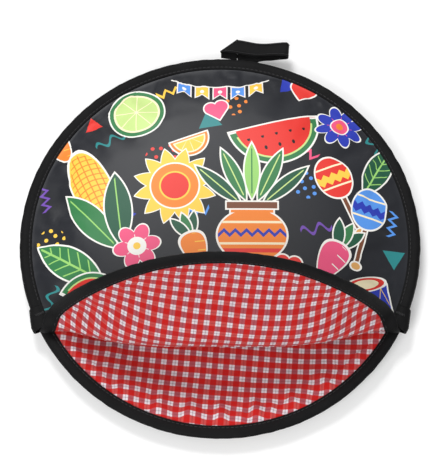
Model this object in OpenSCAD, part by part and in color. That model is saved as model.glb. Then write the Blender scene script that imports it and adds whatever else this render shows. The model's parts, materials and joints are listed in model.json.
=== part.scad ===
// Round padded fabric pouch that keeps flatbread warm. Two quilted panels are joined by a
// binding tape round most of the rim. The upper panel's front folds up as a mouth flap.
// Millimetres, +Z up. The origin is on the table under the centre of the pouch, and the
// mouth looks along -Y.

/* [Pouch] */
// Outer radius over the binding tape
disc_r = 152.5; // [130:0.5:175]
// Height of the rim seam above the table
seam_z = 16; // [14:0.5:20]
// Radius of the flat middle that rests on the table
base_r = 98; // [80:1:105]
// Rise of the upper panel's inside above the seam
crown = 15; // [12:0.5:20]
// Half of the angle of the rim that is left open as the mouth
mouth_half = 64; // [55:0.5:70]

/* [Mouth] */
// Angle of the flap above its closed place
open_deg = 115; // [0:1:140]
// Room between the closed flap and the panel at the fold
fold_gap = 0.3; // [0.2:0.05:0.5]
// Room between the two taped lips when the flap is closed
lip_gap = 1.2; // [1:0.1:1.6]

/* [Layers] */
// Thickness of the printed outer cloth
cover_t = 0.8; // [0.6:0.1:1]
// Thickness of the wadding in the middle of a panel
wadding_t = 3; // [2:0.25:4]
// Thickness of the wadding pressed flat at the rim
wadding_rim_t = 1; // [0.8:0.1:1.5]
// Thickness of the checked lining cloth
lining_t = 0.8; // [0.6:0.1:1]
// Width of the flat edge of a panel, which the tape covers
flange_w = 10.5; // [10:0.5:14]

/* [Binding tape] */
// Width of the tape on each side of the rim
tape_w = 9.5; // [7:0.5:10]
// Thickness of the tape
tape_t = 0.9; // [0.7:0.1:1.1]
// Height and half width of a sewn thread line
thread_t = 0.35; // [0.25:0.05:0.4]
// Distance of the thread from the tape's inner edge
thread_in = 1.8; // [1.2:0.1:2.5]
// Angle of rim that the doubled tape at a mouth corner covers
corner_deg = 5; // [3:0.5:8]
// Amount that the doubled tape at a mouth corner stands out
corner_out = 2; // [1:0.25:3]

/* [Hang loop] */
// Direction of the hang loop seen from the centre
loop_at = 82; // [60:1:120]
// Width of the loop's strap
strap_w = 11.7; // [10:0.1:13]
// Thickness of the loop's strap
strap_t = 1.2; // [1:0.1:1.5]
// Reach of the loop to the right of its direction
loop_right = 28.5; // [24:0.5:34]
// Reach of the loop to the left of its direction
loop_left = 21; // [18:0.5:23]
// Free height between the loop's two strands
loop_gap = 5.2; // [4.6:0.1:6]

/* [Hidden] */
$fn = 96;

// radii of a panel
tape_in_r = disc_r - tape_w;
edge_r = disc_r - tape_t;
flange_r = disc_r - flange_w;
fade_w = 40;
steps = 8;

// heights of the layers
rim_t = cover_t + wadding_rim_t + lining_t;
panel_t = cover_t + wadding_t + lining_t;
lip_lift = 2 * tape_t + lip_gap;
dish = seam_z - rim_t;

// the fold of the flap
fold_y = -disc_r * cos(mouth_half);
fold_z = roof_z(-fold_y, lip_lift) + panel_t + 0.05;
flap_half = acos((-fold_y + fold_gap) / tape_in_r) - 0.2;

// lowest z of the lower panel at radius r, a flat middle and a turned-up rim
function ease(t) = (1 - cos(180 * t)) / 2;
function share(r, from, to) = min(1, max(0, (r - from) / (to - from)));
function floor_z(r) = dish * ease(share(r, base_r, flange_r));

// lowest z of the upper panel at radius r, a dome on a flat rim that is lifted by up
function roof_z(r, up) = seam_z + up + (crown - up) * (1 - pow(min(1, r / flange_r), 3));

// the wadding thins towards the rim
function pad_t(r) = wadding_t + (wadding_rim_t - wadding_t) * share(r, flange_r - fade_w, flange_r);

// a layer's height over its panel's lowest face: 0 to 3 count the faces from below
function lower_face(r, n) =
    floor_z(r) + (n > 0 ? cover_t : 0) + (n > 1 ? pad_t(r) : 0) + (n > 2 ? lining_t : 0);
function upper_face(r, n, up) =
    roof_z(r, up) + (n > 0 ? lining_t : 0) + (n > 1 ? pad_t(r) : 0) + (n > 2 ? cover_t : 0);

lower_radii = [0, base_r, for (i = [1:steps]) base_r + (flange_r - base_r) * i / steps, edge_r];
upper_radii = [0, for (i = [2:2 * steps]) flange_r * sqrt(i / (2 * steps)), edge_r];

// ---- shapes that repeat ----

// one layer of the lower panel, between faces n and n + 1
module lower_layer(n) {
    last = len(lower_radii) - 1;
    rotate_extrude()
        polygon([for (r = lower_radii) [r, lower_face(r, n)],
                 for (i = [last:-1:0]) [lower_radii[i], lower_face(lower_radii[i], n + 1)]]);
}

// one layer of the upper panel's whole disc, its rim lifted by up
module upper_layer(n, up) {
    last = len(upper_radii) - 1;
    rotate_extrude()
        polygon([for (r = upper_radii) [r, upper_face(r, n, up)],
                 for (i = [last:-1:0]) [upper_radii[i], upper_face(upper_radii[i], n + 1, up)]]);
}

// half space behind the fold, or in front of it
module behind_fold() {
    translate([-disc_r, fold_y + fold_gap / 2, -1]) cube([2 * disc_r, 2 * disc_r, 4 * seam_z]);
}

module before_fold() {
    translate([-disc_r, fold_y - fold_gap / 2 - disc_r, -1]) cube([2 * disc_r, disc_r, 4 * seam_z]);
}

// turns a part of the flap from its closed place to its open one
module opened() {
    translate([0, fold_y, fold_z]) rotate([-open_deg, 0, 0]) translate([0, -fold_y, -fold_z])
        children();
}

// a profile swept round the rim between two angles, counted from the middle of the mouth
module round_rim(from, to) {
    rotate([0, 0, from - 90]) rotate_extrude(angle = to - from) children();
}

// the folded tape: a U round panels whose edges fill heights low to high
module tape_profile(low, high, t = tape_t, out = 0) {
    difference() {
        tape_outline(low - t, high + t, disc_r + out);
        translate([tape_in_r - 1, low]) square([disc_r - t + 1 - tape_in_r + out, high - low]);
    }
}

// the tape's outline with its outer corners rounded
module tape_outline(bottom, top, r_out) {
    turn = 1.1;
    translate([tape_in_r, bottom]) square([r_out - turn - tape_in_r, top - bottom]);
    translate([tape_in_r, bottom + turn]) square([r_out - tape_in_r, top - bottom - 2 * turn]);
    translate([r_out - turn, bottom + turn]) circle(turn);
    translate([r_out - turn, top - turn]) circle(turn);
}

// a thread line on the tape with its lowest face at z
module thread_profile(z) {
    translate([tape_in_r + thread_in - thread_t, z]) square([2 * thread_t, thread_t]);
}

// ---- lower panel ----

module lower_cover() color("#26282c") lower_layer(0);

module lower_wadding() color("#e8e6de") lower_layer(1);

module lower_lining() color("#d8453a") lower_layer(2);

// ---- upper panel, behind the fold ----

module upper_lining() color("#d8453a") intersection() {
    upper_layer(0, 0);
    behind_fold();
}

module upper_wadding() color("#e8e6de") intersection() {
    upper_layer(1, 0);
    behind_fold();
}

module upper_cover() color("#26282c") intersection() {
    upper_layer(2, 0);
    behind_fold();
}

// ---- mouth flap, the upper panel in front of the fold ----

module flap_lining() color("#d8453a") opened() intersection() {
    upper_layer(0, lip_lift);
    before_fold();
}

module flap_wadding() color("#e8e6de") opened() intersection() {
    upper_layer(1, lip_lift);
    before_fold();
}

module flap_cover() color("#26282c") opened() intersection() {
    upper_layer(2, lip_lift);
    before_fold();
}

// ---- binding tape ----

// round both panels where they are sewn together
module seam_binding() color("#141416") round_rim(mouth_half, 360 - mouth_half)
    tape_profile(seam_z - rim_t, seam_z + rim_t);

// round the lower lip of the mouth
module lip_binding() color("#141416") round_rim(-flap_half, flap_half)
    tape_profile(seam_z - rim_t, seam_z);

// round the flap's lip
module flap_binding() color("#141416") opened() round_rim(-flap_half, flap_half)
    tape_profile(seam_z + lip_lift, seam_z + lip_lift + rim_t);

// the tape's doubled end at a corner of the mouth
module corner_tape(from) {
    round_rim(from, from + corner_deg) difference() {
        tape_outline(seam_z - rim_t - 2 * tape_t, seam_z + rim_t + 2 * tape_t, disc_r + corner_out);
        translate([tape_in_r - 1, seam_z - rim_t - tape_t])
            square([tape_w + 1, 2 * rim_t + 2 * tape_t]);
    }
}

module right_corner_tape() color("#101012") corner_tape(mouth_half + 0.3);

module left_corner_tape() color("#101012") corner_tape(360 - mouth_half - 0.3 - corner_deg);

// ---- sewing thread ----

module seam_thread() color("#3a3a3e") round_rim(mouth_half + corner_deg + 1, 359 - mouth_half - corner_deg) {
    thread_profile(seam_z + rim_t + tape_t);
    thread_profile(seam_z - rim_t - tape_t - thread_t);
}

module lip_thread() color("#3a3a3e") round_rim(-flap_half, flap_half) {
    thread_profile(seam_z + tape_t);
    thread_profile(seam_z - rim_t - tape_t - thread_t);
}

module flap_thread() color("#3a3a3e") opened() round_rim(-flap_half, flap_half) {
    thread_profile(seam_z + lip_lift + rim_t + tape_t);
    thread_profile(seam_z + lip_lift - tape_t - thread_t);
}

// short dense rows of thread across the doubled tape, above and below
module corner_bartacks() color("#3a3a3e") for (side = [-1, 1], up = [-1, 1])
    rotate([0, 0, -90 + side * (mouth_half + 0.3 + corner_deg / 2)])
        translate([tape_in_r + 1, -1, seam_z + up * (rim_t + 2 * tape_t + thread_t / 2) - thread_t / 2])
            cube([tape_w - 2, 2, thread_t]);

// ---- hang loop ----
// Drawn with u to the right along the rim, v outwards and z from the seam, then put in place.

loop_half = loop_gap / 2 + strap_t / 2;
bar_r = 1.2;
bar_v = bar_r + 0.3;
leg_v = 4.6;
band_v = 7.6;
band_tilt = 6;
end_left = [-12.5, 15];

// from the loop's own directions to the pouch's
module on_rim() {
    translate([disc_r * cos(loop_at), disc_r * sin(loop_at), seam_z]) rotate([0, 0, loop_at - 90])
        children();
}

// a strand's flat stretch, with its outer corner folded over on the slant
module strand(z, root_left, root_right) {
    translate([0, 0, z - strap_t / 2]) linear_extrude(strap_t)
        polygon([[root_left, leg_v], [end_left[0], end_left[1]],
                 [loop_right, band_v + strap_w], [loop_right, band_v],
                 [root_right, leg_v]]);
}

// a strand's root, which climbs from the sewn bar to the flat stretch
module leg(side, root_left, root_right) {
    width = root_right - root_left;
    translate([root_left, 0, 0]) rotate([90, 0, 90]) linear_extrude(width)
        polygon([[bar_v, 0], [bar_v + 0.9, 0],
                 [leg_v + 0.4, side * (loop_half - strap_t / 2)],
                 [leg_v + 0.4, side * (loop_half + strap_t / 2)],
                 [leg_v - 0.2, side * (loop_half + strap_t / 2)],
                 [bar_v - 0.4, side * 0.9]]);
}

// the half turn at the loop's free end
module turn_round() {
    translate([loop_right, band_v, 0]) rotate([-90, 0, 0]) difference() {
        cylinder(r = loop_half + strap_t / 2, h = strap_w);
        translate([0, 0, -1]) cylinder(r = loop_half - strap_t / 2, h = strap_w + 2);
        translate([-2 * loop_half, -2 * loop_half, -1]) cube([2 * loop_half, 4 * loop_half, strap_w + 2]);
    }
}

module hang_loop() color("#141416") on_rim() {
    translate([-loop_left, bar_v, 0]) rotate([0, 90, 0]) cylinder(r = bar_r, h = loop_left + 8);
    leg(1, -loop_left, -5);
    leg(-1, -6, 8);
    strand(loop_half, -loop_left, -5);
    strand(-loop_half, -6, 8);
    turn_round();
}

// two rows of thread along the upper strand's edges
module loop_thread() color("#3a3a3e") on_rim() for (v = [band_v + 1.5, band_v + strap_w - 2.5])
    translate([0, v, loop_half + strap_t / 2]) cube([loop_right - 1, 2 * thread_t, thread_t]);

lower_cover();
lower_wadding();
lower_lining();
upper_cover();
upper_wadding();
upper_lining();
flap_cover();
flap_wadding();
flap_lining();
seam_binding();
lip_binding();
flap_binding();
left_corner_tape();
right_corner_tape();
seam_thread();
lip_thread();
flap_thread();
corner_bartacks();
hang_loop();
loop_thread();
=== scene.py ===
# %% [markdown]
# # A padded pouch that keeps flatbread warm
# The real thing is two round quilted panels sewn rim to rim. Each panel is a printed
# satin cover, a layer of wadding and a checked cotton lining. A black tape is folded
# over the rim, and the front of the upper panel folds up as the mouth. Everything here
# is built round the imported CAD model, in metres, in the same frame.

# %% Load the frame
import bpy
import bmesh
import json
import math
from mathutils import Matrix, Vector, noise
from mathutils.kdtree import KDTree


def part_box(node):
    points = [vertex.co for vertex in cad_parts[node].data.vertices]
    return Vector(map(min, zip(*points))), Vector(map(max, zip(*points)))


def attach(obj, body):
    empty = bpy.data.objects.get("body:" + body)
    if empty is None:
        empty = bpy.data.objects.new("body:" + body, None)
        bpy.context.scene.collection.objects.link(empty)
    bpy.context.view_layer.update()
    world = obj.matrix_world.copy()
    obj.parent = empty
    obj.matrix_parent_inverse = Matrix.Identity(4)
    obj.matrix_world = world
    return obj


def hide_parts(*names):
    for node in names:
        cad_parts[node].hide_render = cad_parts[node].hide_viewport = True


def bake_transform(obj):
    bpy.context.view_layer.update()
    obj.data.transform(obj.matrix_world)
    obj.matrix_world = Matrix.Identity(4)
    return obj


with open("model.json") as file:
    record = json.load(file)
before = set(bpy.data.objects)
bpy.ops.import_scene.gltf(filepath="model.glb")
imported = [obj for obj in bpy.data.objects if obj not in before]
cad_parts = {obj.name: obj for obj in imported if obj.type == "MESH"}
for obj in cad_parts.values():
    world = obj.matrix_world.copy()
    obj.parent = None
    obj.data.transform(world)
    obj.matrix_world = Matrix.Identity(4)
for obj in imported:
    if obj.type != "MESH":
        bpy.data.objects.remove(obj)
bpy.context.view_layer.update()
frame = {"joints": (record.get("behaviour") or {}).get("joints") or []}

# %% [markdown]
# ## Measures
# The pouch's sizes are read from the CAD nodes, so that a change there moves the cloth
# too. The fold is the CAD's own hinge, and its rest angle is how far the flap is open.

# %% Read the measures from the frame
MM = 0.001
hinge = next(j for j in frame["joints"] if j["name"] == "flap_fold")
fold_y, fold_z = hinge["pos_m"][1], hinge["pos_m"][2]
open_angle = math.radians(-hinge["range_deg"][0])

tape_low, tape_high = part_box("seam_binding")
disc_r = -tape_low.x
seam_z = (tape_low.z + tape_high.z) / 2
edge_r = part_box("lower_cover")[1].x
cover_t = lining_t = 0.8 * MM
wadding_t, wadding_rim_t = 3.0 * MM, 1.0 * MM
tape_t, tape_w, flange_w = 0.9 * MM, 9.5 * MM, 10.5 * MM
base_r, crown = 98 * MM, 15 * MM
flange_r, tape_in_r = disc_r - flange_w, disc_r - tape_w
rim_t = cover_t + wadding_rim_t + lining_t
dish = seam_z - rim_t
lip_lift = 3.0 * MM
mouth_half = math.degrees(math.acos(-fold_y / disc_r))
loop_at = 82.0  # where the hang loop leaves the seam, in degrees round from +X
print("rim radius", disc_r, "seam height", seam_z, "mouth half angle", mouth_half)

# %% [markdown]
# ## Camera
# The photograph looks down at the round face, so the camera stands high in front of the
# mouth. Its distance is long, as for a product picture, so the rim stays round.

# %% Place the camera
look_at = Vector((0.0, 0.004, 0.035))
camera_height_deg, camera_far, camera_lens = 70.0, 1.75, 182


def add_to_scene(name, data):
    thing = bpy.data.objects.new(name, data)
    bpy.context.scene.collection.objects.link(thing)
    return thing


def aim(thing, place):
    """Stands a camera or a lamp at a place and turns it towards the pouch."""
    thing.location = place
    thing.rotation_euler = (look_at - Vector(place)).to_track_quat("-Z", "Y").to_euler()


def add_camera():
    camera = add_to_scene("camera", bpy.data.cameras.new("camera"))
    camera.data.lens, camera.data.sensor_width = camera_lens, 36
    high = math.radians(camera_height_deg)
    aim(camera, look_at + Vector((0, -math.cos(high), math.sin(high))) * camera_far)
    bpy.context.scene.camera = camera


add_camera()
print("the camera looks down at", camera_height_deg, "degrees")

# %% [markdown]
# ## Light and floor
# Product pictures are lit by large soft boxes. One big lamp stands in front, a little to
# the left, and lights the lining of the open mouth. A smaller one stands behind, lights
# the printed face and throws the soft shadow forward. The world fills the rest and looks
# white to the camera alone. The floor is plain and pale and keeps the shadow.

# %% Light the scene
fill_strength, WHITE = 0.45, (1, 1, 1, 1)


def area_lamp(name, place, size, watts):
    lamp = add_to_scene(name, bpy.data.lights.new(name, "AREA"))
    lamp.data.shape, lamp.data.size, lamp.data.energy = "DISK", size, watts
    aim(lamp, place)


def light_world():
    """Soft light from all round, and plain white where the camera sees past the floor."""
    world = bpy.data.worlds.new("studio")
    world.use_nodes = True
    nodes, links = world.node_tree.nodes, world.node_tree.links
    fill, backdrop = nodes["Background"], nodes.new("ShaderNodeBackground")
    rays, either = nodes.new("ShaderNodeLightPath"), nodes.new("ShaderNodeMixShader")
    for background, strength in ((fill, fill_strength), (backdrop, 1.0)):
        background.inputs["Color"].default_value = WHITE
        background.inputs["Strength"].default_value = strength
    for i, output in enumerate((rays.outputs["Is Camera Ray"], fill.outputs[0], backdrop.outputs[0])):
        links.new(output, either.inputs[i])
    links.new(either.outputs[0], nodes["World Output"].inputs["Surface"])
    bpy.context.scene.world = world


area_lamp("key_lamp", (-0.5, -1.2, 1.5), 1.2, 21)
area_lamp("back_lamp", (-0.3, 1.1, 1.6), 0.7, 22)
light_world()
bpy.context.scene.view_settings.view_transform = "Standard"
print("lamps", [light.name for light in bpy.data.lights])

# %% [markdown]
# ## Shader maths as Python
# A pattern is arithmetic on the cloth's own coordinates. This small class wraps a node
# socket, so that an expression such as `1 - mask * 2` adds its Math nodes by itself.


# %% A socket that does arithmetic
class Value:
    def __init__(self, shader, socket):
        self.shader, self.socket = shader, socket

    def math(self, operation, *others):
        return self.shader.node("ShaderNodeMath", {"operation": operation}, [self, *others])

    def __add__(self, other): return self.math("ADD", other)
    def __radd__(self, other): return self.math("ADD", other)
    def __sub__(self, other): return self.math("SUBTRACT", other)
    def __rsub__(self, other): return self.shader.lift(other).math("SUBTRACT", self)
    def __mul__(self, other): return self.math("MULTIPLY", other)
    def __rmul__(self, other): return self.math("MULTIPLY", other)
    def __truediv__(self, other): return self.math("DIVIDE", other)
    def __rtruediv__(self, other): return self.shader.lift(other).math("DIVIDE", self)
    def __abs__(self): return self.math("ABSOLUTE")
    def __lt__(self, other): return self.math("LESS_THAN", other)
    def __gt__(self, other): return self.math("GREATER_THAN", other)
    def min(self, other): return self.math("MINIMUM", other)
    def max(self, other): return self.math("MAXIMUM", other)
    def sin(self): return self.math("SINE")
    def cos(self): return self.math("COSINE")
    def clamp(self): return self.max(0.0).min(1.0)
    def wrap(self, high, low=0.0): return self.math("WRAP", high, low)
    def ping_pong(self, scale): return self.math("PINGPONG", scale)
    def floor(self): return self.math("FLOOR")

    def smooth(self, low, high):
        """0 below low and 1 above high, with a soft step between them."""
        return self.shader.node(
            "ShaderNodeMapRange",
            {"interpolation_type": "SMOOTHSTEP"},
            {"Value": self, "From Min": low, "From Max": high},
        )


class Shader:
    """One material's node tree. node() adds any node: settings first, then its inputs."""

    def __init__(self, name):
        self.material = bpy.data.materials.new(name)
        self.material.use_nodes = True
        self.tree = self.material.node_tree
        self.surface = self.tree.nodes["Principled BSDF"]

    def node(self, kind, settings=None, inputs=(), output=0):
        made = self.tree.nodes.new(kind)
        for key, setting in (settings or {}).items():
            setattr(made, key, setting)
        pairs = inputs.items() if isinstance(inputs, dict) else enumerate(inputs)
        for key, given in pairs:
            if isinstance(given, Value):
                self.tree.links.new(given.socket, made.inputs[key])
            elif given is not None:
                made.inputs[key].default_value = given
        return Value(self, made.outputs[output])

    def lift(self, number):
        return self.node("ShaderNodeMath", {"operation": "ADD"}, [number, 0.0])

    def vector(self, operation, *given, output=0):
        return self.node("ShaderNodeVectorMath", {"operation": operation}, given, output)

    def uv(self):
        """The cloth's flat cut coordinates, in metres."""
        place = self.node("ShaderNodeUVMap", {"uv_map": "cut"})
        split = self.node("ShaderNodeSeparateXYZ", {}, [place])
        nodes = split.socket.node
        return place, Value(self, nodes.outputs[0]), Value(self, nodes.outputs[1])

    def mix(self, share, below, above):
        """Colour below where share is 0 and above where it is 1."""
        made = self.tree.nodes.new("ShaderNodeMix")
        made.data_type = "RGBA"
        colours = [i for i in made.inputs if i.type == "RGBA"]
        for socket, given in ((made.inputs[0], share), (colours[0], below), (colours[1], above)):
            if isinstance(given, Value):
                self.tree.links.new(given.socket, socket)
            else:
                socket.default_value = given
        return Value(self, next(o for o in made.outputs if o.type == "RGBA"))

    def noise(self, place, scale, detail=2.0, roughness=0.5):
        return self.node(
            "ShaderNodeTexNoise",
            {"noise_dimensions": "3D"},
            {"Vector": place, "Scale": scale, "Detail": detail, "Roughness": roughness},
        )

    def bump(self, height, distance, strength):
        return self.node("ShaderNodeBump", {}, {"Height": height, "Distance": distance, "Strength": strength})

    def feed(self, **inputs):
        for key, given in inputs.items():
            socket = self.surface.inputs[key.replace("_", " ")]
            if isinstance(given, Value):
                self.tree.links.new(given.socket, socket)
            else:
                socket.default_value = given
        return self.material


def srgb(red, green, blue):
    """A colour as picture numbers from 0 to 255, made linear."""
    parts = [c / 255 for c in (red, green, blue)]
    return tuple(c / 12.92 if c <= 0.04045 else ((c + 0.055) / 1.055) ** 2.4 for c in parts) + (1.0,)


# %% The floor
floor_half, camera_glow = 6.0, 0.22


def saved(name, shape):
    """Writes a bmesh to a new mesh and frees it."""
    mesh = bpy.data.meshes.new(name)
    shape.to_mesh(mesh)
    shape.free()
    return mesh


def make_floor():
    """A pale floor that glows a little to the camera, so that it looks white round the shadow."""
    plane = bmesh.new()
    bmesh.ops.create_grid(plane, x_segments=1, y_segments=1, size=floor_half)
    floor = add_to_scene("floor", saved("floor", plane))
    shader = Shader("pale_floor")
    shader.feed(Base_Color=(0.8, 0.8, 0.8, 1), Roughness=0.9)
    plain = Value(shader, shader.surface.outputs[0])
    seen = shader.node("ShaderNodeLightPath")
    glow = shader.node("ShaderNodeEmission", {}, {"Color": WHITE, "Strength": camera_glow})
    both = shader.node("ShaderNodeAddShader", {}, [plain, glow])
    shown = shader.node("ShaderNodeMixShader", {}, [seen, plain, both])
    shader.tree.links.new(shown.socket, shader.tree.nodes["Material Output"].inputs["Surface"])
    floor.data.materials.append(shader.material)


make_floor()
print("the floor is", 2 * floor_half, "m wide")

# %% [markdown]
# ## The cloth's shape
# A panel is one round cut of cloth. It is worked out closed first: a dome above the rim
# for the upper panel and a shallow dish below it. Then the front of the upper panel is
# turned up about the fold. The turn grows over a short stretch, so the cloth rolls over
# the fold as padded cloth does, and it dies away at the two corners, where the rim is
# sewn down.


# %% Heights of a closed panel
def ramp(value, start, end):
    """0 before start and 1 after end, with a soft step between them."""
    share = min(1.0, max(0.0, (value - start) / (end - start)))
    return share * share * (3 - 2 * share)


def pad_t(r):
    thinning = 40 * MM
    share = min(1.0, max(0.0, (r - (flange_r - thinning)) / thinning))
    return wadding_t + (wadding_rim_t - wadding_t) * share


def stack(r, face):
    """Height of a layer's face over the panel's lowest face, counted from below."""
    pad = pad_t(r)
    return (0.0, lining_t, lining_t + pad, cover_t + lining_t + pad)[face]


def lower_z(x, y, face):
    r = math.hypot(x, y)
    share = min(1.0, max(0.0, (r - base_r) / (flange_r - base_r)))
    return dish * (1 - math.cos(math.pi * share)) / 2 + stack(r, face)


def lift_at(y):
    """The flap's lip rests on the lower lip, so its rim stands a little higher."""
    return lip_lift * ramp(fold_y - y, 0, 20 * MM)


def upper_z(x, y, face):
    r = math.hypot(x, y)
    lift = lift_at(y)
    return seam_z + lift + (crown - lift) * (1 - min(1.0, r / flange_r) ** 3) + stack(r, face)


# %% The fold
fold_down_from, fold_down_to = 66 * MM, 130 * MM
bow_out, roll_in, roll_out, roll_slack_in, roll_slack_out = 6 * MM, 11 * MM, 14 * MM, 3 * MM, 16 * MM


def pivot_z(x):
    """The fold runs level over the crown and comes down to the seam at the corners."""
    own = upper_z(x, fold_y, 3)
    return fold_z + (own - fold_z) * ramp(abs(x), fold_down_from, fold_down_to)


def fold_bow(x):
    """The cloth rolls over a little in front of the fold, most in the middle."""
    return bow_out * (1 - ramp(abs(x), 10 * MM, 115 * MM))


def open_mouth(point, slack=0.0):
    """Takes a point of the closed upper panel to its place with the mouth open.

    slack is 1 for the lining, which lies on the outside of the roll and turns slowly."""
    x, y, z = point
    past = fold_y - y
    near_corner = ramp(abs(x), 110 * MM, 132 * MM)
    slack *= 1 - ramp(abs(x), 50 * MM, 125 * MM)
    start = fold_bow(x) - (roll_in + roll_slack_in * slack) * (1 - near_corner) - 0.1 * MM
    turn = open_angle * ramp(past, start, roll_out + roll_slack_out * slack + fold_bow(x))
    if turn <= 0:
        return Vector(point)
    pivot = pivot_z(x)
    high = z - pivot
    return Vector((x,
                   fold_y - (past * math.cos(turn) - high * math.sin(turn)),
                   pivot + past * math.sin(turn) + high * math.cos(turn)))


# %% [markdown]
# ## Creases
# Padded cloth that is gathered under a tape is never smooth. Each outer cloth gets slow
# swells from the wadding and short puckers that run in from the tape, and the flap's
# lining bulges like a pillow. Blender's own noise gives the same swells on every run.

# %% Crease heights
def swell(x, y, size, seed):
    return noise.noise(Vector((x / size, y / size, seed)))


def puckers(x, y, pitch, reach, seed):
    """Short waves across the rim that die away towards the middle."""
    r = math.hypot(x, y)
    if r < 0.02:
        return 0.0
    turn = math.atan2(y, x)
    place = turn * disc_r / pitch
    wave = noise.noise(Vector((math.cos(turn) * disc_r / pitch, math.sin(turn) * disc_r / pitch, seed)))
    wave += 0.5 * math.sin(place * 2.1 + 2.0 * wave)
    grown = ramp(r, flange_r - reach * (0.75 + 0.5 * abs(wave)), flange_r - 5 * MM)
    return wave * (grown * (1 - ramp(r, flange_r - 4 * MM, flange_r + 3 * MM)))


puff = 12 * MM


def flap_puff(x, y):
    """The wadding pushes the flap's lining out like a pillow, most near the fold."""
    past, r = fold_y - y, math.hypot(x, y)
    return puff * ramp(past, -24 * MM, 6 * MM) * (1 - ramp(r, 78 * MM, flange_r - 1 * MM))


def quiet_rim(x, y):
    return 1 - ramp(math.hypot(x, y), flange_r - 25 * MM, flange_r)


def cover_crease(x, y):
    return (1.5 * MM * swell(x, y, 62 * MM, 3.0) * quiet_rim(x, y)
            + 0.55 * MM * swell(x, y, 23 * MM, 8.0) * quiet_rim(x, y)
            + 1.1 * MM * puckers(x, y, 15 * MM, 34 * MM, 1.5))


def lining_crease(x, y):
    return (1.2 * MM * swell(x, y, 48 * MM, 13.0) * quiet_rim(x, y)
            + 0.5 * MM * swell(x, y, 17 * MM, 18.0) * quiet_rim(x, y)
            + 1.2 * MM * puckers(x, y, 12 * MM, 30 * MM, 5.5))


# %% [markdown]
# ## Cloth simulation
# The slow swells and the gathers at the tape come from a cloth simulation. A round cloth
# a little larger than its place is held round the rim and pressed outwards from inside,
# as wadding does, so it bulges and buckles where it has too much cloth. Only the way each
# point moved is kept, within a limit, and it is added to the panel's own shape.

# %% A round grid
cloth_cells, sim_cells, pad_cells = 110, 110, 80


def round_grid(cells):
    layer = bmesh.new()
    bmesh.ops.create_grid(layer, x_segments=cells, y_segments=cells, size=1.0)
    for vert in layer.verts:
        x, y, _ = vert.co
        vert.co.x = x * math.sqrt(1 - y * y / 2)
        vert.co.y = y * math.sqrt(1 - x * x / 2)
    return layer


# %% Simulate one panel's cloth
frames, inward_share = 20, 0.12


def outward(way, pressure):
    """Cloth can't sink into the wadding below it, so only its outward waves stay whole."""
    if way.z * pressure < 0:
        way.z *= inward_share
    return way


def simulate(name, height, pressure, extra, limit, start_crease):
    """Returns a function that says how far the cloth moves at a place of its cut.

    extra is the share by which it is too large."""
    grid = round_grid(sim_cells)
    for vert in grid.verts:
        vert.co *= edge_r
    homes = [vert.co.xy.copy() for vert in grid.verts]
    for vert in grid.verts:
        x, y, _ = vert.co
        vert.co.z = height(x, y) + start_crease(x, y)
    cloth_piece = add_to_scene(name, saved(name, grid))
    held = cloth_piece.vertex_groups.new(name="held")
    for i, home in enumerate(homes):
        held.add([i], ramp(home.length, flange_r - 6 * MM, flange_r), "REPLACE")
    cloth = cloth_piece.modifiers.new("cloth", "CLOTH")
    setting = cloth.settings
    setting.quality, setting.mass, setting.air_damping = 6, 0.12, 2.0
    setting.tension_stiffness = setting.compression_stiffness = 14
    setting.shear_stiffness, setting.bending_stiffness = 6, 0.08
    setting.vertex_group_mass = "held"
    setting.use_pressure, setting.uniform_pressure_force = True, pressure
    setting.shrink_min = -extra
    setting.effector_weights.gravity = 0
    cloth.collision_settings.use_collision = False
    cloth.point_cache.frame_start, cloth.point_cache.frame_end = 1, frames
    for step in range(1, frames + 1):
        bpy.context.scene.frame_set(step)
    shown = cloth_piece.evaluated_get(bpy.context.evaluated_depsgraph_get()).to_mesh()
    moved, near = [], KDTree(len(homes))
    for i, home in enumerate(homes):
        x, y = home
        way = shown.vertices[i].co - Vector((x, y, height(x, y)))
        way *= limit * math.tanh(way.length / limit) / max(way.length, 1e-9)
        free = 1 - ramp(home.length, flange_r - 3 * MM, flange_r + 1 * MM)
        moved.append(outward(way, pressure) * free)
        near.insert((x, y, 0), i)
    near.balance()
    bpy.context.scene.frame_set(1)
    bpy.data.objects.remove(cloth_piece)
    print(name, "moved up to", max(way.length for way in moved))

    def way_at(x, y):
        """The move at a place, from the three nearest simulated points."""
        found = near.find_n((x, y, 0), 3)
        weights = [1 / (far + 1e-6) for _, _, far in found]
        total = sum((moved[i] * weight for (_, i, _), weight in zip(found, weights)), Vector())
        return total / sum(weights)
    return way_at


# %% [markdown]
# ## One round layer
# A grid is pressed into a disc, so its squares stay even and the rim is clean. It is
# thickened into two faces, and each face is then set at its own height in the panel.


# %% Where a point lay on the flat cloth
def turned(u, v, degrees):
    """The weave's own directions, turned clockwise from the panel's."""
    sine, cosine = math.sin(math.radians(degrees)), math.cos(math.radians(degrees))
    return u * cosine - v * sine, u * sine + v * cosine


def cut_map(place, side, degrees):
    """Sums the cloth's length along each column, so the check keeps its size where it swells."""
    step, count = 4 * MM, 40
    columns = []
    for i in range(-count, count + 1):
        column = [0.0] * (2 * count + 1)
        for way in (-1, 1):
            last = place(i * step, 0.0, side)
            for j in range(1, count + 1):
                here = place(i * step, way * j * step, side)
                column[count + way * j] = column[count + way * (j - 1)] + way * (here - last).length
                last = here
        columns.append(column)

    def cut_at(x, y):
        across, along = x / step + count, y / step + count
        i, j = int(across), int(along)
        a, b = across - i, along - j
        near = columns[i][j] * (1 - b) + columns[i][j + 1] * b
        far = columns[i + 1][j] * (1 - b) + columns[i + 1][j + 1] * b
        return turned(x, near * (1 - a) + far * a, degrees)
    return cut_at


# %% Make a round layer
def smooth_shade(shape):
    for face in shape.faces:
        face.smooth = True


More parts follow.
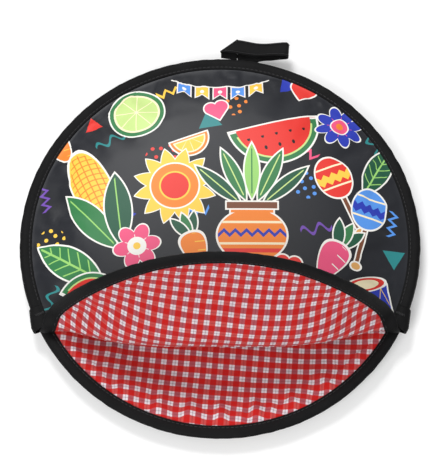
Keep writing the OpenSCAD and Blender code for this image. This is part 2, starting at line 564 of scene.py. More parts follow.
def layer_mesh(name, cells, radius, place, cut_at):
    """place(x, y, side) gives the final point of a cloth's lower (0) or upper (1) face."""
    layer = round_grid(cells)
    for vert in layer.verts:
        vert.co *= radius
    bmesh.ops.solidify(layer, geom=layer.faces[:], thickness=1.0)
    cut = layer.loops.layers.uv.new("cut")
    for vert in layer.verts:
        flat = cut_at(*vert.co.xy)
        for loop in vert.link_loops:
            loop[cut].uv = flat
    middle = sum(vert.co.z for vert in layer.verts) / len(layer.verts)
    for vert in layer.verts:
        vert.co = place(vert.co.x, vert.co.y, int(vert.co.z > middle))
    bmesh.ops.recalc_face_normals(layer, faces=layer.faces[:])
    smooth_shade(layer)
    return saved(name, layer)


def add_piece(mesh, material, slot, nodes, body=None):
    """Puts a piece in place of CAD nodes. It rides a body, or else its place is baked into its mesh."""
    piece = add_to_scene(mesh.name, mesh)
    mesh.materials.append(material)
    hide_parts(*nodes)
    if body:
        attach(piece, body)
    else:
        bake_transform(piece)
    print(piece.name, len(mesh.polygons), "faces")
    return piece


# %% [markdown]
# ## Finishes
# The cover is a printed satin on a charcoal ground, with painted sheen in slow, lighter
# and bluer patches of that ground. The lining is plain-woven cotton, where red and white
# warp and weft make a gingham check of red, white and two mixed squares, with a dark
# thread down the middle of each white stripe. The tape is a black ribbed ribbon. Bumps
# are a tenth of a millimetre or so, as real threads are.

# %% Gingham lining
def weave_height(shader, u, v, pitch):
    """Threads that pass over and under each other, as a height from 0 to 1."""
    across = (u * (math.pi / pitch)).sin()
    along = (v * (math.pi / pitch)).sin()
    return across * along * 0.5 + 0.5


def gingham_material():
    shader = Shader("check_lining")
    place, u, v = shader.uv()
    check = 4.25 * MM
    drift, drift_scale = 0.9 * MM, 38.0
    u_soft = u + (shader.noise(place, drift_scale) - 0.5) * drift
    v_soft = v + (shader.noise(shader.vector("ADD", place, (3.0, 1.0, 0.0)), drift_scale) - 0.5) * drift

    def saw(value):
        return (value / (2 * check)).wrap(1.0).ping_pong(0.5)

    def stripe(value):
        return saw(value).smooth(0.215, 0.255)

    def pin(value):
        """One dark thread runs down the middle of each white stripe."""
        return 1 - saw(value).smooth(0.015, 0.065)

    warp, weft = stripe(u_soft), stripe(v_soft)
    white, red = srgb(226, 217, 223), srgb(196, 16, 9)
    warp_red, weft_red = srgb(200, 40, 28), srgb(170, 60, 72)
    tone = shader.mix(warp, shader.mix(weft, white, weft_red), shader.mix(weft, warp_red, red))
    threads = weave_height(shader, u, v, 0.55 * MM)
    mixed = abs(warp - weft)
    tone = shader.mix(mixed * threads * 0.35, tone, shader.mix(threads, white, warp_red))
    slub = shader.noise(shader.vector("MULTIPLY", place, (700.0, 60.0, 1.0)), 1.0)
    slub = slub + shader.noise(shader.vector("MULTIPLY", place, (60.0, 700.0, 1.0)), 1.0)
    tone = shader.mix((slub - 0.8).clamp() * 0.5, tone, srgb(120, 50, 58))
    pins = (pin(u_soft) + pin(v_soft)) * 0.5
    tone = shader.mix(pins * 0.62, tone, srgb(74, 30, 40))
    bump = shader.bump(threads, 0.12 * MM, 0.6)
    return shader.feed(Base_Color=tone, Roughness=0.85, Normal=bump, Specular_IOR_Level=0.25,
                       Sheen_Weight=0.08, Sheen_Roughness=0.5)


# %% Black tape and thread
def tape_material():
    shader = Shader("binding_tape")
    place, u, v = shader.uv()
    ribs = (u * (2 * math.pi / (0.9 * MM))).sin() * 0.5 + 0.5
    cross = (v * (2 * math.pi / (0.45 * MM))).sin() * 0.5 + 0.5
    fuzz = shader.noise(place, 900.0, 3.0)
    wear = shader.noise(place, 45.0, 3.0).smooth(0.35, 0.75)
    tone = shader.mix(ribs * 0.5 + fuzz * 0.3, srgb(5, 5, 6), srgb(15, 15, 16))
    tone = shader.mix(wear * 0.2, tone, srgb(28, 28, 30))
    bump = shader.bump(ribs * 0.6 + cross * 0.25 + fuzz * 0.3, 0.18 * MM, 0.7)
    return shader.feed(Base_Color=tone, Roughness=0.6, Normal=bump, Specular_IOR_Level=0.14)


def thread_material():
    shader = Shader("thread")
    place = shader.node("ShaderNodeTexCoord", {}, [], "Object")
    twist = shader.node(
        "ShaderNodeTexWave", {"wave_type": "BANDS", "bands_direction": "DIAGONAL"},
        {"Vector": place, "Scale": 900.0, "Distortion": 0.6},
    )
    tone = shader.mix(twist, srgb(10, 10, 11), srgb(34, 34, 37))
    return shader.feed(Base_Color=tone, Roughness=0.5, Normal=shader.bump(twist, 0.1 * MM, 0.6))


def wadding_material():
    shader = Shader("wadding")
    place = shader.node("ShaderNodeTexCoord", {}, [], "Object")
    fluff = shader.noise(place, 260.0, 4.0, 0.65)
    tone = shader.mix(fluff, srgb(214, 210, 200), srgb(243, 241, 234))
    return shader.feed(Base_Color=tone, Roughness=0.95, Normal=shader.bump(fluff, 0.6 * MM, 0.7))


# %% [markdown]
# ## The print
# The satin carries a bright print with thin white outlines. No picture is used: each
# motif is a distance to its own edge, worked out from the cloth's flat coordinates, and
# the distance picks a band of ink from a stepped ramp. A motif is drawn in millimetres
# round its own middle, then laid over the inks below it, as a screen printer would.

# %% Inks
INK = {
    "leaf": srgb(52, 122, 72), "dark_leaf": srgb(28, 84, 60), "lime": srgb(150, 205, 110),
    "flesh": srgb(196, 222, 138), "red": srgb(222, 52, 44), "deep_red": srgb(165, 30, 38),
    "pink": srgb(233, 84, 128), "orange": srgb(238, 132, 46), "yellow": srgb(246, 200, 74),
    "tan": srgb(220, 164, 96), "brown": srgb(118, 70, 46), "blue": srgb(38, 56, 172),
    "sky": srgb(84, 146, 226), "teal": srgb(40, 130, 132), "violet": srgb(112, 74, 170),
    "white": srgb(240, 238, 232), "cream": srgb(247, 233, 196), "black": srgb(20, 20, 24),
}
OUTLINE = 1.1  # mm


# %% A screen printer in nodes
class Print:
    def __init__(self, shader, place, ground):
        self.shader, self.place, self.ink = shader, place, ground

    def stencil(self, draw, *settings):
        """Draws one motif in a node group of its own, which keeps every tree small."""
        shader, home = self.shader, (self.shader.tree, self.place, self.ink)
        shader.tree = bpy.data.node_groups.new("print_" + draw.__name__[5:], "ShaderNodeTree")
        sockets = (("Place", "INPUT", "Vector"), ("Under", "INPUT", "Color"), ("Over", "OUTPUT", "Color"))
        for name, way, kind in sockets:
            shader.tree.interface.new_socket(name, in_out=way, socket_type="NodeSocket" + kind)
        given = shader.tree.nodes.new("NodeGroupInput")
        self.place, self.ink = (Value(shader, socket) for socket in given.outputs[:2])
        draw(self, *settings)
        result = shader.tree.nodes.new("NodeGroupOutput")
        shader.tree.links.new(self.ink.socket, result.inputs[0])
        group, (shader.tree, self.place, under) = shader.tree, home
        # a billionth of the ink so far makes the motifs wait for each other, which saves memory
        waiting = shader.vector("MULTIPLY_ADD", under, (1e-9,) * 3, self.place)
        self.ink = shader.node("ShaderNodeGroup", {"node_tree": group}, [waiting, under])

    def beside(self, x, y, turn, size, right, up, lean):
        """A place beside a motif's own middle, turned further by lean."""
        sine, cosine = math.sin(math.radians(turn)), math.cos(math.radians(turn))
        return self.at(x + size * (right * cosine - up * sine), y + size * (right * sine + up * cosine),
                       turn + lean, size)

    def at(self, x, y, turn=0.0, size=1.0):
        """The cloth seen from a motif's own middle, in millimetres."""
        spot = self.shader.node(
            "ShaderNodeMapping", {"vector_type": "TEXTURE"},
            {"Vector": self.place, "Location": (x * MM, y * MM, 0),
             "Rotation": (0, 0, math.radians(turn)), "Scale": (size * MM, size * MM, 1)},
        )
        return Motif(self, spot, size)

    def lay(self, edge, bands, mask=None, reach=50.0):
        """Inks where edge is below 0. bands are (from this distance on, ink), inside first."""
        ramp_node = self.shader.tree.nodes.new("ShaderNodeValToRGB")
        stops = ramp_node.color_ramp
        stops.interpolation = "CONSTANT"
        low, high = -reach, reach * 0.04
        stops.elements[0].color = INK[bands[0][1]]
        stops.elements[1].color = INK[bands[-1][1]][:3] + (0.0,)
        for start, ink in bands[1:]:
            stops.elements.new((start - low) / (high - low)).color = INK[ink]
        stops.elements.new(-low / (high - low)).color = INK[bands[-1][1]][:3] + (0.0,)
        share = edge.math("MULTIPLY_ADD", 1 / (high - low), -low / (high - low))
        self.shader.tree.links.new(share.socket, ramp_node.inputs[0])
        alpha = Value(self.shader, ramp_node.outputs["Alpha"])
        if mask is not None:
            alpha = alpha * mask
        self.ink = self.shader.mix(alpha, self.ink, Value(self.shader, ramp_node.outputs["Color"]))


class Motif:
    """Distances, in millimetres, from a motif's own middle: below 0 is inside."""

    def __init__(self, press, spot, size):
        self.press, self.spot = press, spot
        self.x = press.shader.node("ShaderNodeSeparateXYZ", {}, [spot])
        self.y = Value(press.shader, self.x.socket.node.outputs[1])
        self.line = OUTLINE / size

    def vector(self, operation, *given, output=0):
        return self.press.shader.vector(operation, *given, output=output)

    def length(self, vector):
        return self.vector("LENGTH", vector, output=1)

    def join(self, x, y):
        return self.press.shader.node("ShaderNodeCombineXYZ", {}, [x, y])

    def circle(self, radius):
        return self.length(self.spot) - radius

    def oval(self, wide, tall, x=0.0, y=0.0):
        spot = self.vector("SUBTRACT", self.spot, (x, y, 0)) if x or y else self.spot
        return (self.length(self.vector("DIVIDE", spot, (wide, tall, 1))) - 1.0) * min(wide, tall)

    def box(self, wide, tall, x=0.0, y=0.0):
        return (abs(self.x - x) - wide).max(abs(self.y - y) - tall)

    def leaf(self, wide, tall):
        """A pointed leaf: where two round cuts overlap."""
        radius = (wide * wide + tall * tall) / (2 * wide)
        return self.length(self.join(abs(self.x) + (radius - wide), self.y)) - radius

    def side(self, turn, distance):
        """Half of the plane, cut at that distance in that direction."""
        way = (math.cos(math.radians(turn)), math.sin(math.radians(turn)), 0)
        return self.vector("DOT_PRODUCT", self.spot, way, output=1) - distance

    def angle(self):
        return self.y.math("ARCTAN2", self.x)

    def lay(self, edge, bands, mask=None, reach=50.0):
        self.press.lay(edge, bands, mask, reach)

    def outlined(self, edge, ink):
        self.lay(edge, [(-50, ink), (-self.line, "white")])

    def stroke(self, edge, wide, ink, mask=None):
        """A line that runs along an edge."""
        self.lay(abs(edge) - wide / 2, [(-5, ink)], mask, 5.0)


# %% [markdown]
# Fruit, vegetables and leaves come first. Each one is a few lines: an outline shape, its
# bands of ink, then the marks inside it.

# %% Fruit and leaves
def draw_leaf(press, x, y, turn, size, ink="leaf", vein="lime"):
    motif = press.at(x, y, turn, size)
    edge = motif.leaf(12, 30)
    motif.outlined(edge, ink)
    inside = edge < -2.2
    motif.stroke((motif.y - abs(motif.x) * 0.9).ping_pong(4.4), 1.2, vein, inside)
    motif.stroke(motif.x, 1.5, vein, inside)


def draw_citrus(press, x, y, turn, size, flesh="flesh", rind="leaf", half=False):
    motif = press.at(x, y, turn, size)
    edge = motif.circle(22)
    shape = edge.max(motif.y * -1.0 - 1.5) if half else edge
    motif.outlined(shape, rind)
    inner = edge + 4.2
    inner = inner.max(motif.y * -1.0 + 1.6) if half else inner
    motif.lay(inner, [(-30, flesh), (-1.6, "cream")], None, 30.0)
    spokes = abs((motif.angle() * 4.0).sin()) * (inner + 18.0)
    motif.stroke(spokes, 2.4, "cream", inner < -1.0)


def draw_melon(press, x, y, turn, size):
    motif = press.at(x, y, turn, size)
    round_edge = motif.circle(36)
    shape = round_edge.max(motif.y)
    motif.outlined(shape, "red")
    motif.lay(round_edge.max(motif.y + 1.3), [(-6, "flesh"), (-5.0, "leaf"), (-1.3, "white")],
              round_edge > -6.4, 6.0)
    seed = motif.length(motif.join((motif.x.wrap(5.5, -5.5)) * 1.5, motif.y.wrap(5.0, -5.0))) - 1.7
    motif.lay(seed, [(-3, "black")], shape < -9.5, 3.0)


def draw_corn(press, x, y, turn, size):
    motif = press.at(x, y, turn, size)
    cob = motif.oval(15.5, 40, 0, 6)
    motif.outlined(cob, "yellow")
    grid = motif.x.ping_pong(2.6).min((motif.y + motif.x * motif.x * 0.02).ping_pong(2.4))
    motif.stroke(grid, 0.9, "orange", cob < -1.9)
    for side, tilt in ((-1, 18), (1, -18)):
        husk = press.beside(x, y, turn, size, side * 11, -16, tilt)
        edge = husk.leaf(11, 31)
        husk.outlined(edge, "leaf" if side < 0 else "dark_leaf")
        husk.stroke(husk.x + husk.y * 0.02, 1.0, "lime", edge < -3.0)


def draw_root(press, x, y, turn, size, ink, tip):
    """A radish or a carrot with a tuft of leaves."""
    for tilt in (-26, 0, 26):
        leaf = press.beside(x, y, turn + tilt * 0.5, size, 0, 26, tilt * 0.5)
        edge = leaf.leaf(5.5, 15)
        leaf.outlined(edge, "dark_leaf" if tilt else "leaf")
    motif = press.at(x, y, turn, size)
    edge = motif.length(motif.join(motif.x * (1.0 - motif.y * 0.022), motif.y * 0.62 - 1.0)) - 11.5
    motif.outlined(edge, ink)
    motif.stroke((motif.y + motif.x * 0.25).ping_pong(4.5), 0.9, tip, (edge < -1.6) * (motif.x > 2.0))


# %% [markdown]
# Then the things of a feast: a sun, flowers, rattles, a drum, a painted pot and a string
# of paper flags.

# %% Sun, flower and heart
def draw_sun(press, x, y, size):
    motif = press.at(x, y, 0, size)
    far = motif.length(motif.spot)
    rays = (motif.angle() * (12 / math.pi)).ping_pong(1.0)
    motif.outlined(far - (rays * 10.0 + 22.0), "yellow")
    motif.lay(far - 19.0, [(-20, "red"), (-8.5, "yellow"), (-7.2, "orange"), (-1.2, "white")], None, 20.0)


def draw_flower(press, x, y, size, petals, ink, heart, centre):
    motif = press.at(x, y, 12, size)
    far = motif.length(motif.spot)
    wave = abs((motif.angle() * (petals / 2)).cos())
    edge = far - (wave * 7.0 + 12.5)
    motif.outlined(edge, ink)
    motif.stroke((motif.angle() * (petals / 2)).cos() * far, 1.6, heart, (edge < -3.0) * (far > 7.0))
    motif.lay(far - 7.5, [(-8, centre), (-4.6, heart), (-1.0, "white")], None, 8.0)


def draw_heart(press, x, y, turn, size, ink):
    motif = press.at(x, y, turn, size)
    across = abs(motif.x)
    lobe = motif.length(motif.join(across - 4.6, motif.y - 4.6)) - 6.5
    point = (across + abs(motif.y)) * 0.707 - 6.5
    motif.outlined(lobe.min(point), ink)


# %% Rattle, drum, pot and flags
def draw_rattle(press, x, y, turn, size, ink, band):
    motif = press.at(x, y, turn, size)
    motif.outlined(motif.box(2.6, 21, 0, -30), "brown")
    motif.outlined(motif.oval(5, 4, 0, -50), "tan")
    head = motif.oval(15, 19)
    motif.outlined(head, ink)
    teeth = motif.y + motif.x.ping_pong(3.5)
    motif.lay(abs(teeth - 1.5) - 3.4, [(-4, band)], head < -1.2, 4.0)
    motif.stroke(abs(motif.y - 1.0) - 8.6, 1.5, "cream", head < -1.2)


def draw_drum(press, x, y, turn, size):
    motif = press.at(x, y, turn, size)
    body = motif.box(21, 16).min(motif.oval(21, 7, 0, -16))
    motif.outlined(body, "blue")
    lace = motif.x.ping_pong(7.0) * 3.2 + motif.y
    motif.stroke(lace - 11.0, 2.0, "yellow", motif.box(19, 11) < 0.0)
    motif.stroke(motif.y + 13.0, 3.4, "red", body < -1.2)
    top = motif.oval(21, 7, 0, 16)
    motif.lay(top, [(-10, "cream"), (-2.8, "red"), (-1.1, "white")], None, 10.0)


def draw_pot(press, x, y, turn, size):
    for lean, ink in ((-48, "dark_leaf"), (48, "dark_leaf"), (-24, "leaf"), (24, "leaf"), (0, "lime")):
        blade = press.beside(x, y + size * 10, turn + lean, size, 0, 34, 0)
        edge = blade.leaf(6.5, 25)
        blade.outlined(edge, ink)
        blade.stroke(blade.x, 0.9, "flesh" if ink != "lime" else "leaf", edge < -2.6)
    motif = press.at(x, y, turn, size)
    body = motif.oval(27, 22, 0, -8).min(motif.box(17, 5, 0, 14))
    motif.outlined(body, "orange")
    inside = body < -1.2
    motif.stroke(motif.y + 8.0 - motif.x.ping_pong(4.2), 3.0, "blue", inside)
    motif.stroke(abs(motif.y + 6.0) - 8.5, 1.8, "cream", inside)
    motif.stroke(motif.y + 20.0, 3.2, "red", inside)
    motif.outlined(motif.box(20, 3.6, 0, 16), "brown")


def draw_flags(press, x, y, turn, size, count):
    motif = press.at(x, y, turn, size)
    high = motif.y - motif.x * motif.x * 0.006
    cell = motif.x.wrap(7.5, -7.5)
    flag = ((abs(cell) - 6.2).max(high * -1.0 - 15.0)).max(high)
    notch = abs(cell) * 0.8 - (high * -1.0 - 9.5)
    flag = flag.max(notch * -1.0)
    ends = abs(motif.x) < count * 7.5
    index = ((motif.x + 7.5) / 15.0).floor().wrap(3.0, 0.0)
    motif.lay(flag, [(-8, "pink"), (-1.0, "white")], ends, 8.0)
    motif.lay(flag + 1.1, [(-8, "sky")], ends * (index > 0.5), 8.0)
    motif.lay(flag + 1.1, [(-8, "yellow")], ends * (index > 1.5), 8.0)
    dot = motif.length(motif.join(cell, high + 6.0)) - 1.8
    motif.lay(dot, [(-3, "white")], ends, 3.0)
    motif.stroke(high, 1.1, "white", abs(motif.x) < count * 7.5 + 4)


# %% Loose bits between the motifs
def draw_zigzag(press, x, y, turn, size, ink):
    motif = press.at(x, y, turn, size)
    motif.stroke(motif.y - motif.x.ping_pong(4.0) * 1.5, 3.2, ink, abs(motif.x) < 12.0)


def draw_squiggle(press, x, y, turn, size, ink):
    motif = press.at(x, y, turn, size)
    motif.stroke(motif.y - (motif.x * 0.5).sin() * 3.4, 2.6, ink, abs(motif.x) < 12.0)


def draw_triangle(press, x, y, turn, size, ink):
    motif = press.at(x, y, turn, size)
    motif.lay((motif.side(-90, 4).max(motif.side(30, 4))).max(motif.side(150, 4)), [(-5, ink)], None, 5.0)


def draw_confetti(press, x, y, radius, ink, pitch=6.4):
    """A patch of dots, each pushed off its place by a noise that is fixed to its cell."""
    motif = press.at(x, y, 20)
    cell = motif.vector("DIVIDE", motif.spot, (pitch, pitch, 1))
    home = motif.vector("FLOOR", cell)
    push = press.shader.node("ShaderNodeTexWhiteNoise", {"noise_dimensions": "2D"}, {"Vector": home}, 1)
    inner = motif.vector("SUBTRACT", cell, home)
    off = motif.vector("SUBTRACT", inner, motif.vector("MULTIPLY_ADD", push, (0.4, 0.4, 0), (0.3, 0.3, 0)))
    flat = motif.vector("MULTIPLY", off, (1, 1, 0))
    motif.lay(motif.length(flat) * pitch - 1.5, [(-2, ink)], motif.length(motif.spot) < radius, 2.0)


# %% [markdown]
# ## The layout
# The whole round cut is filled, also the part that turns up as the flap and the part
# that the flap hides. The small bits are laid first, so that a motif covers them.

# %% Lay out the print
# each line gives a motif's place in mm, and as a rule its turn in degrees, its size and its inks
LAYOUT = (
    (draw_confetti, (
        (-44, 60, 13, "red"), (66, 40, 12, "sky"), (-128, -2, 11, "yellow"), (10, 108, 11, "orange"),
        (-75, -45, 14, "pink"), (40, -60, 15, "red"), (128, 66, 9, "pink"), (-20, -95, 12, "sky"))),
    (draw_zigzag, (
        (-36, 118, 20, 1.0, "yellow"), (62, 66, -35, 1.0, "pink"), (134, 12, 80, 0.9, "sky"),
        (-131, 34, 100, 0.9, "violet"), (-18, 14, 10, 0.9, "sky"), (70, -118, 30, 1, "yellow"),
        (-96, -88, -30, 1, "sky"), (8, -32, 0, 1, "orange"))),
    (draw_squiggle, (
        (-84, 78, 30, 1.0, "teal"), (118, 80, -60, 1.0, "teal"), (72, 4, 15, 1.0, "violet"),
        (-30, -130, 10, 1.0, "teal"), (-128, -48, 70, 1.0, "teal"))),
    (draw_triangle, (
        (-8, 92, 10, 1.3, "teal"), (-72, 14, 40, 1.2, "blue"), (132, -14, 60, 1.2, "teal"),
        (52, 128, 20, 1.1, "blue"), (-98, 94, 15, 1.0, "red"), (20, -84, 30, 1.3, "teal"),
        (118, -44, 0, 1.2, "red"))),
    (draw_leaf, (
        (-112, -22, 58, 1.05), (121, 56, -28, 0.85, "dark_leaf"), (100, -84, -60, 1.1),
        (-60, -112, 30, 1.0, "dark_leaf"))),
    (draw_citrus, (
        (-64, 102, 0, 1.0), (-24, 78, 200, 0.72, "yellow", "orange", True),
        (66, -84, 0, 0.9, "yellow", "orange"), (-50, -66, 30, 0.8))),
    (draw_corn, ((-93, 30, 24, 1.0),)),
    (draw_melon, ((40, 92, 16, 1.0), (-96, -58, 150, 0.8))),
    (draw_sun, ((-34, 38, 1.0), (12, -118, 0.8))),
    (draw_flower, (
        (92, 92, 1.0, 8, "blue", "pink", "orange"), (-62, -10, 0.95, 6, "pink", "white", "yellow"),
        (4, -62, 0.9, 8, "red", "cream", "blue"))),
    (draw_rattle, (
        (86, 46, 24, 0.95, "red", "yellow"), (113, 22, -14, 0.95, "sky", "blue"),
        (-12, -96, 70, 0.8, "pink", "yellow"))),
    (draw_pot, ((24, 6, 0, 1.0),)),
    (draw_root, (
        (82, -22, -30, 0.9, "pink", "white"), (-122, 74, 30, 0.7, "orange", "yellow"),
        (-18, -14, 20, 0.8, "orange", "yellow"))),
    (draw_drum, ((112, -50, 12, 0.8),)),
    (draw_flags, ((0, 124, 0, 0.92, 5),)),
    (draw_heart, (
        (64, 122, -20, 1.0, "red"), (-128, 98, 20, 0.8, "pink"), (-2, 100, 15, 0.9, "pink"),
        (50, -28, -10, 1.0, "red"), (-118, -92, 0, 1.0, "pink"))),
)


def draw_print(shader, place, ground):
    press = Print(shader, place, ground)
    for draw, settings in LAYOUT:
        for setting in settings:
            press.stencil(draw, *setting)
    print("the print uses", sum(len(group.nodes) for group in bpy.data.node_groups), "nodes")
    return press.ink


# %% Printed satin
def satin_material():
    shader = Shader("printed_cover")
    place, u, v = shader.uv()
    # painted sheen: slow random patches of lighter, bluer charcoal stand in for the satin's soft reflection
    slow = shader.noise(place, 22.0, 2.0)
    ground = shader.mix(slow, srgb(22, 24, 29), srgb(32, 34, 41))
    ink = draw_print(shader, place, ground)
    cloth = weave_height(shader, u, v, 0.42 * MM)
    bump = shader.bump(cloth, 0.06 * MM, 0.4)
    return shader.feed(Base_Color=ink, Roughness=0.46, Normal=bump, Specular_IOR_Level=0.35,
                       Sheen_Weight=0.05, Sheen_Roughness=0.4)


satin, gingham = satin_material(), gingham_material()
tape_black, thread_black, wadding_white = tape_material(), thread_material(), wadding_material()

# %% [markdown]
# ## The two panels
# Each panel is a cover, a pad of wadding and a lining. The upper panel's three layers go
# over the fold in one piece, so each of them stands for two CAD nodes and reaches from
# the pouch round the fold into the open flap.

# %% The lower panel
inset, pad_short = 0.4 * MM, 1.0 * MM  # how far the pad keeps inside its cloths
check_turn_low, check_turn_flap = 95.0, -7.0


def lower_droop(x, y):
    """The lower lip is soft, so it hangs a little in the middle of the mouth."""
    wave = 1.2 * MM * swell(x, y, 45 * MM, 31.0)
    front = ramp(-y, 85 * MM, 150 * MM)
    return front * (wave - 2.5 * MM)


def lip_gather(x, y):
    """The lining is fuller than the lip, so it bunches into small folds beside the tape."""
    wave = puckers(x, y, 10 * MM, 24 * MM, 9.5) * ramp(-y, 60 * MM, 120 * MM)
    drawn_in = 1.6 * MM * wave / max(math.hypot(x, y), 1 * MM)
    return Vector((-x * drawn_in, -y * drawn_in, 2.6 * MM * max(wave, -0.15)))


lower_lining_way = simulate(
    "lower_lining_sim", lambda x, y: lower_z(x, y, 3), 0.25, 0.02, 2.2 * MM, lambda x, y: 0.0)


def lower_cut(x, y):
    return turned(x, y, check_turn_low)


def lower_place(low_face):
    tuck = inset if low_face == 1 else 0.0

    def place(x, y, side):
        face = low_face + side
        point = Vector((x, y, lower_z(x, y, face) + lower_droop(x, y) + tuck * (1 - 2 * side)))
        if face >= 2:
            point += lower_lining_way(x, y) + lip_gather(x, y)
        point.z = max(point.z, (0.2 + 0.6 * face) * MM)
        return point
    return place


def add_layer(name, cells, radius, place, finish, nodes, body=None, cut_at=lambda x, y: (x, y)):
    return add_piece(layer_mesh(name, cells, radius, place, cut_at), *finish, nodes, body)


cover_finish, lining_finish = (satin, "printed_cover"), (gingham, "check_lining")
pad_finish, pad_r = (wadding_white, "wadding"), edge_r - pad_short
add_layer("lower_cover_cloth", cloth_cells, edge_r, lower_place(0), cover_finish,
              ["lower_cover"], "pouch")
add_layer("lower_wadding_pad", pad_cells, pad_r, lower_place(1), pad_finish,
              ["lower_wadding"], "pouch")
add_layer("lower_lining_cloth", cloth_cells, edge_r, lower_place(2), lining_finish,
              ["lower_lining"], "pouch", lower_cut)

# %% The upper panel
cover_way = simulate("upper_cover_sim", lambda x, y: upper_z(x, y, 3), 0.4, 0.03, 3.5 * MM, cover_crease)
lining_way = simulate(
    "upper_lining_sim", lambda x, y: upper_z(x, y, 0), -0.3, 0.03, 3.0 * MM,
    lambda x, y: -lining_crease(x, y))


def upper_place(low_face):
    tuck = inset if low_face == 1 else 0.0

    def place(x, y, side):
        face = low_face + side
        point = Vector((x, y, upper_z(x, y, face) + tuck * (1 - 2 * side)))
        if face >= 2:
            point += cover_way(x, y)
        else:
            point += lining_way(x, y)
            point.z -= flap_puff(x, y)
        return open_mouth(point, float(face < 2))
    return place


add_layer("upper_cover_cloth", cloth_cells, edge_r, upper_place(2), cover_finish,
              ["upper_cover", "flap_cover"])
add_layer("upper_wadding_pad", pad_cells, pad_r, upper_place(1), pad_finish,
              ["upper_wadding", "flap_wadding"])
add_layer("upper_lining_cloth", cloth_cells, edge_r, upper_place(0), lining_finish,
              ["upper_lining", "flap_lining"], cut_at=cut_map(upper_place(0), 0, check_turn_flap))

# %% [markdown]
# ## Binding tape
# The tape is a ribbon folded in half over the raw edges and sewn down. Its section is a
# soft U, thin at the stitches and fuller where it rolls over the edge. The section is
# spun round the rim, and each point is then moved a little, because sewing puckers it.


# %% The tape's section, spun round the rim
def tape_section(low, high, extra=0.0):
    """Points of the folded tape's section as (radius, height), as a closed ring."""
    inner, outer = tape_in_r, disc_r + extra
    over = ((0, 0.1), (0.15, 0.75), (0.9, 0.95), (1.8, 0.62), (3.0, 1.05), (5.0, 1.3))
    top = [(inner + across * MM, high + up * MM) for across, up in over]
    top += [(outer - 2.3 * MM, high + 1.15 * MM), (outer - 0.9 * MM, high + 0.45 * MM)]
    mid = (low + high) / 2
    edge = [(outer - 0.1 * MM, mid + 0.8 * MM), (outer, mid), (outer - 0.1 * MM, mid - 0.8 * MM)]
    bottom = [(r, low + high - z) for r, z in reversed(top)]
    inside = [(inner + 1.0 * MM, low + 0.02 * MM), (outer - 1.2 * MM, low + 0.02 * MM),
              (outer - 1.2 * MM, high - 0.02 * MM), (inner + 1.0 * MM, high - 0.02 * MM)]
    return top + edge + bottom + inside


def spun_tape(name, section, start_deg, end_deg, place, step_deg=0.45):
    """Spins the section between two angles counted from the middle of the mouth."""
    tape = bmesh.new()
    verts = [tape.verts.new((r, 0, z)) for r, z in section]
    edges = [tape.edges.new((verts[i], verts[(i + 1) % len(verts)])) for i in range(len(verts))]
    bmesh.ops.rotate(tape, verts=verts, matrix=Matrix.Rotation(math.radians(start_deg - 90), 3, "Z"))
    steps = max(2, round((end_deg - start_deg) / step_deg))
    made = bmesh.ops.spin(
        tape, geom=verts + edges, axis=(0, 0, 1), cent=(0, 0, 0),
        angle=math.radians(end_deg - start_deg), steps=steps, use_merge=False,
    )
    last = [e for e in made["geom_last"] if isinstance(e, bmesh.types.BMEdge)]
    bmesh.ops.contextual_create(tape, geom=edges)
    bmesh.ops.contextual_create(tape, geom=last)
    bmesh.ops.remove_doubles(tape, verts=tape.verts[:], dist=1e-6)
    bmesh.ops.recalc_face_normals(tape, faces=tape.faces[:])
    cut = tape.loops.layers.uv.new("cut")
    for face in tape.faces:
        middle = face.calc_center_median()
        base = math.atan2(middle.x, -middle.y)
        for loop in face.loops:
            co = loop.vert.co
            turn = math.atan2(co.x, -co.y)
            turn += 2 * math.pi * round((base - turn) / (2 * math.pi))
            loop[cut].uv = (turn * disc_r, math.hypot(co.x, co.y) + co.z)
    for vert in tape.verts:
        vert.co = place(vert.co)
    smooth_shade(tape)
    return saved(name, tape)


def ripple(turn, seed):
    """The small unevenness of a sewn tape along the rim, from about -1 to 1."""
    along = turn * disc_r
    fine, slow = Vector((along / (7 * MM), seed, 0)), Vector((along / (26 * MM), seed, 5))
    return noise.noise(fine) + 0.6 * noise.noise(slow)


loop_turn = math.radians(90 + loop_at)


def tape_place(seed, bend=None, droop=None):
    def place(co):
        r, turn = math.hypot(co.x, co.y), math.atan2(co.x, -co.y)
        outer = ramp(r, tape_in_r + 1.5 * MM, disc_r)
        calm = ramp(abs(turn - loop_turn), 0.17, 0.24)  # the hang loop needs a smooth edge
        r += 0.35 * MM * ripple(turn, seed) * outer * calm
        z = co.z + 0.28 * MM * ripple(turn, seed + 9) * (0.4 + outer)
        point = Vector((r * math.sin(turn), -r * math.cos(turn), z))
        if droop:
            point.z += droop(point.x, point.y)
        return bend(point) if bend else point
    return place


# %% The three tapes
def lifted(point):
    """The flap's tape is drawn on a flat rim and takes the flap's lift here."""
    return open_mouth((point.x, point.y, point.z + lift_at(point.y)))


def rim_tape(name, low, high, start_deg, end_deg, place, node, body=None):
    mesh = spun_tape(name, tape_section(low, high), start_deg, end_deg, place)
    add_piece(mesh, tape_black, "binding_tape", [node], body)


seam_low, seam_high = seam_z - rim_t, seam_z + rim_t
seam_place, flap_place = tape_place(2.0), tape_place(6.0, lifted)
lip_place = tape_place(4.0, None, lower_droop)
rim_tape("seam_tape", seam_low, seam_high, mouth_half, 360 - mouth_half, seam_place, "seam_binding", "pouch")
rim_tape("lip_tape", seam_low, seam_z, -mouth_half, mouth_half, lip_place, "lip_binding", "pouch")
rim_tape("flap_tape", seam_z, seam_high, -mouth_half, mouth_half, flap_place, "flap_binding")

# %% [markdown]
# ## Mouth corners
# Where the mouth ends, a short piece of the same tape is wrapped once more round the rim
# and its end is cut square, so it stands out a little. It is the tape's section again,
# spun through a few degrees and pulled out towards the mouth.

# %% Doubled tape at the corners
corner_deg, corner_gap_deg, corner_out = 5.0, 0.3, 2.0 * MM


def corner_middle(side):
    return math.radians(side * (mouth_half + corner_gap_deg + corner_deg / 2))


